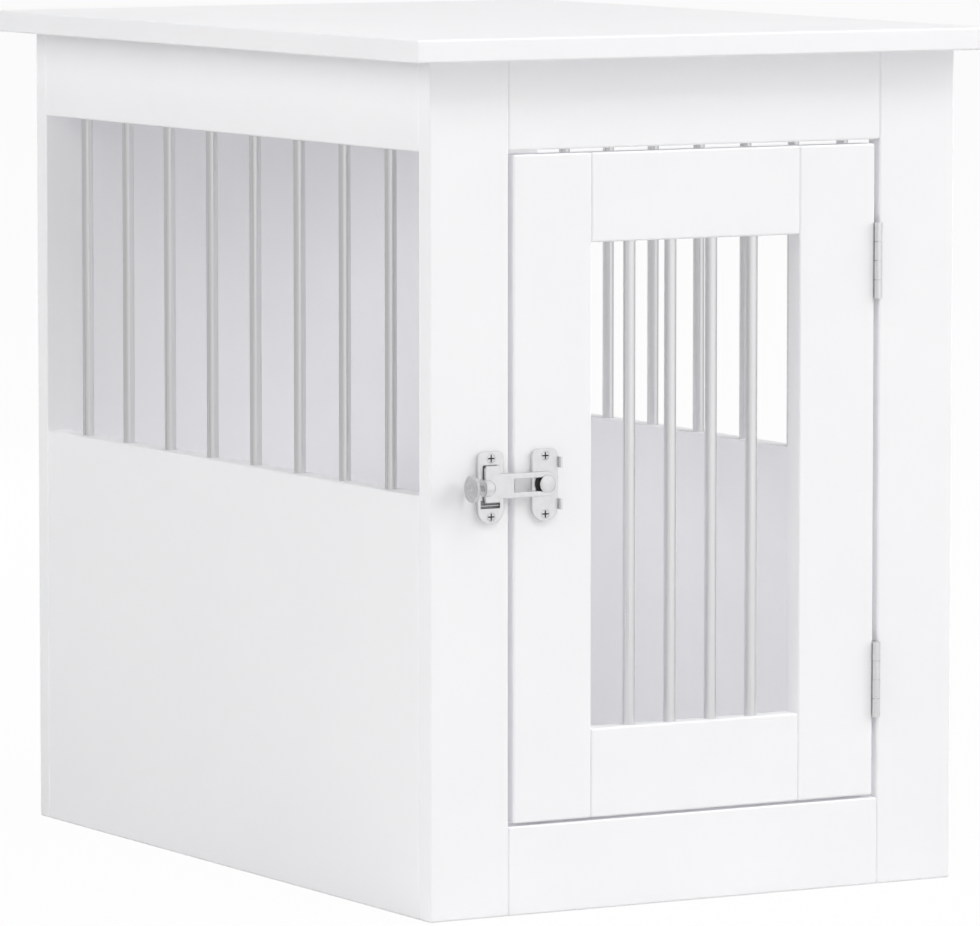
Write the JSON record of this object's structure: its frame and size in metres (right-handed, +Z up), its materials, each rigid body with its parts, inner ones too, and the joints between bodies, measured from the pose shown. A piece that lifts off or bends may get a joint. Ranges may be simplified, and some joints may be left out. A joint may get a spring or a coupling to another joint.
{
  "type": "dog crate end table",
  "caption": "White boarded dog crate with steel bars in its sides and hinged front door, a swing-bar latch and an overhanging table top.",
  "frame": {"origin": "on the floor under the middle of the table top", "axes": "+X to the right along the front, +Y to the back, +Z up; the door is on the -Y side"},
  "size_m": [0.443, 0.6103, 0.575],
  "materials": {
    "white_board": "white melamine-faced board, satin",
    "bar_steel": "satin nickel-plated steel bar",
    "latch_metal": "satin nickel-plated cast metal",
    "hinge_metal": "satin nickel-plated steel",
    "screw_steel": "nickel-plated steel screws",
    "dowel_wood": "plain fluted beech dowel",
    "cam_zinc": "die-cast zinc and steel cabinet fittings"
  },
  "bodies": {
    "cabinet": {"back_panel": "white_board", "cabinet_dowels": "dowel_wood", "cam_bolts": "cam_zinc", "cam_discs": "cam_zinc", "floor_panel": "white_board", "front_bottom_rail": "white_board", "front_stile_left": "white_board", "front_stile_right": "white_board", "front_top_rail": "white_board", "hinge_screws_frame": "screw_steel", "latch_frame_plate": "latch_metal", "latch_screws_frame": "screw_steel", "lower_hinge_frame_leaf": "hinge_metal", "lower_hinge_pin": "hinge_metal", "side_bar_left_1": "bar_steel", "side_bar_left_2": "bar_steel", "side_bar_left_3": "bar_steel", "side_bar_left_4": "bar_steel", "side_bar_left_5": "bar_steel", "side_bar_left_6": "bar_steel", "side_bar_left_7": "bar_steel", "side_bar_left_8": "bar_steel", "side_bar_right_1": "bar_steel", "side_bar_right_2": "bar_steel", "side_bar_right_3": "bar_steel", "side_bar_right_4": "bar_steel", "side_bar_right_5": "bar_steel", "side_bar_right_6": "bar_steel", "side_bar_right_7": "bar_steel", "side_bar_right_8": "bar_steel", "side_panel_left": "white_board", "side_panel_right": "white_board", "side_top_rail_left": "white_board", "side_top_rail_right": "white_board", "table_top": "white_board", "upper_hinge_frame_leaf": "hinge_metal", "upper_hinge_pin": "hinge_metal"},
    "door": {"door_bar_1": "bar_steel", "door_bar_2": "bar_steel", "door_bar_3": "bar_steel", "door_bar_4": "bar_steel", "door_bottom_rail": "white_board", "door_dowels": "dowel_wood", "door_hinge_stile": "white_board", "door_latch_stile": "white_board", "door_top_rail": "white_board", "hinge_screws_door": "screw_steel", "latch_door_plate": "latch_metal", "latch_screws_door": "screw_steel", "latch_stud": "latch_metal", "lower_hinge_door_leaf": "hinge_metal", "upper_hinge_door_leaf": "hinge_metal"},
    "latch_bar": {"latch_swing_bar": "latch_metal"},
    "latch_knob": {"latch_pull_knob": "latch_metal"}
  },
  "joints": [
    {"name": "door_hinge", "type": "hinge", "parent": "cabinet", "child": "door", "pos_m": [0.1408, -0.2866, 0.2796], "axis": [0, 0, 1], "range_deg": [0, 175]},
    {"name": "latch_bar_swing", "type": "hinge", "parent": "door", "child": "latch_bar", "pos_m": [-0.1166, -0.28925, 0.2835], "axis": [0, 1, 0], "range_deg": [-94, 94]},
    {"name": "latch_knob_pull", "type": "slide", "parent": "cabinet", "child": "latch_knob", "axis": [-1, 0, 0], "range_m": [0, 0.0037]}
  ]
}
